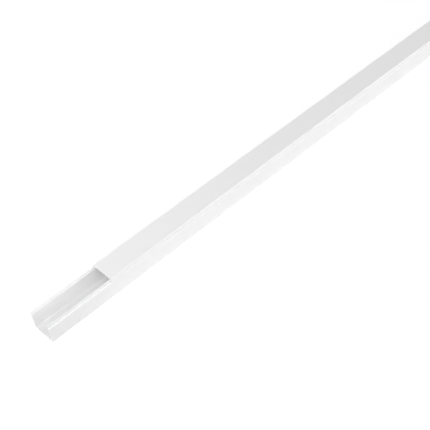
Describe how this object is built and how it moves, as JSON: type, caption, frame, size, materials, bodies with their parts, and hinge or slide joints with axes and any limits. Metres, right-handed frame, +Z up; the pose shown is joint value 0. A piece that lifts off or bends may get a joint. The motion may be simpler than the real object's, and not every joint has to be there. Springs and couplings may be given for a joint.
{
  "type": "cord cover raceway",
  "caption": "Square-section mini trunking length: a U-shaped base channel with a clip-on lid drawn part-way back along it, for covering cords on a wall.",
  "frame": {"origin": "middle of the base channel's back face, the face that goes against the wall", "axes": "+X along the stock, away from the open end; +Y across it; +Z up from the back face towards the lid"},
  "size_m": [1.0464, 0.016, 0.016],
  "materials": {
    "base_pvc": "satin white extruded PVC",
    "lid_pvc": "satin white extruded PVC"
  },
  "bodies": {
    "base": {"base_channel": "base_pvc"},
    "lid": {"snap_lid": "lid_pvc"}
  },
  "joints": [
    {"name": "lid_slide", "type": "slide", "parent": "base", "child": "lid", "axis": [1, 0, 0], "range_m": [-0.0464, 0.4]}
  ]
}
